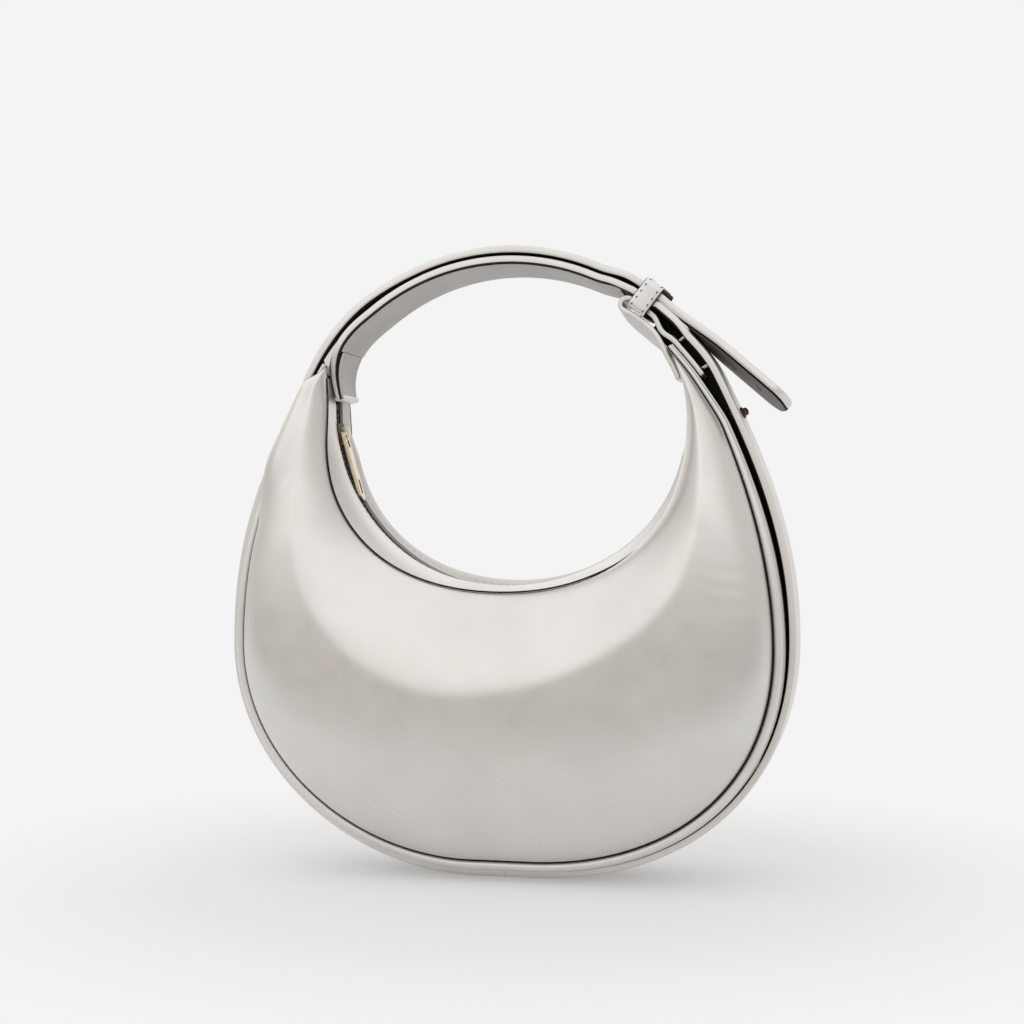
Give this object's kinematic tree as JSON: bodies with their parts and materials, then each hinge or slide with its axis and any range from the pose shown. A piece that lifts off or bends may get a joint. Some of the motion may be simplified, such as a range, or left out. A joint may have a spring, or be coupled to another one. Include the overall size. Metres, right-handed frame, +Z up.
{
  "type": "crescent handbag",
  "caption": "Crescent handbag in silver leather with a curved zip, a belt that runs right round it as the handle, a sliding keeper and a free strap tail.",
  "frame": {"origin": "middle of the flat stretch of belt that the bag stands on", "axes": "+Z up to the crown of the handle, +X along the bag towards the free strap tail, +Y from the front panel towards the back panel"},
  "size_m": [0.2316, 0.0744, 0.2532],
  "materials": {
    "silver_leather": "metallic silver leather",
    "grey_leather": "smooth grey leather lining",
    "foam": "soft padding",
    "lining_cloth": "woven lining",
    "stiffener_board": "bag board",
    "zip_tape": "woven tape",
    "zip_metal": "dark brown metal",
    "gold_metal": "polished pale gold",
    "silver_metal": "bright silver"
  },
  "bodies": {
    "bag": {"front_panel": "silver_leather", "front_foam": "foam", "front_lining": "lining_cloth", "back_panel": "silver_leather", "back_foam": "foam", "back_lining": "lining_cloth", "slip_pocket": "lining_cloth", "outer_gusset": "silver_leather", "base_stiffener": "stiffener_board", "gusset_lining": "lining_cloth", "front_piping": "silver_leather", "back_piping": "silver_leather", "zip_gusset_front": "silver_leather", "zip_tape_front": "zip_tape", "zip_lining_front": "lining_cloth", "zip_gusset_back": "silver_leather", "zip_tape_back": "zip_tape", "zip_lining_back": "lining_cloth", "zip_teeth_front": "zip_metal", "zip_teeth_back": "zip_metal", "zip_top_stop_front": "gold_metal", "zip_top_stop_back": "gold_metal", "zip_end_stop": "gold_metal", "outer_strap": "silver_leather", "inner_strap": "silver_leather", "handle_lining": "grey_leather", "strap_end_tab": "grey_leather", "arm_loop": "silver_leather", "stud": "gold_metal", "stud_screw": "gold_metal", "strap_rivet_upper": "silver_metal", "strap_rivet_lower": "silver_metal"},
    "zip_slider": {"zip_slider": "gold_metal"},
    "zip_pull": {"zip_pull": "gold_metal"},
    "keeper": {"keeper": "silver_leather"},
    "strap_tail": {"strap_tail": "silver_leather", "strap_tail_lining": "grey_leather"}
  },
  "joints": [
    {"name": "zip_run", "type": "hinge", "parent": "bag", "child": "zip_slider", "pos_m": [0, 0, 0.1892], "axis": [0, -1, 0], "range_deg": [0, 150]},
    {"name": "pull_swing", "type": "hinge", "parent": "zip_slider", "child": "zip_pull", "pos_m": [-0.07156, 0, 0.17925], "axis": [0, -1, 0], "range_deg": [0, 135]},
    {"name": "keeper_slide", "type": "slide", "parent": "bag", "child": "keeper", "axis": [0.789, 0, -0.6144], "range_m": [-0.0008, 0.0012]},
    {"name": "tail_lift", "type": "hinge", "parent": "bag", "child": "strap_tail", "pos_m": [0.06628, 0, 0.23039], "axis": [0, 1, 0], "range_deg": [-45, 0.5], "stiffness_Nm_per_rad": 0.3}
  ]
}
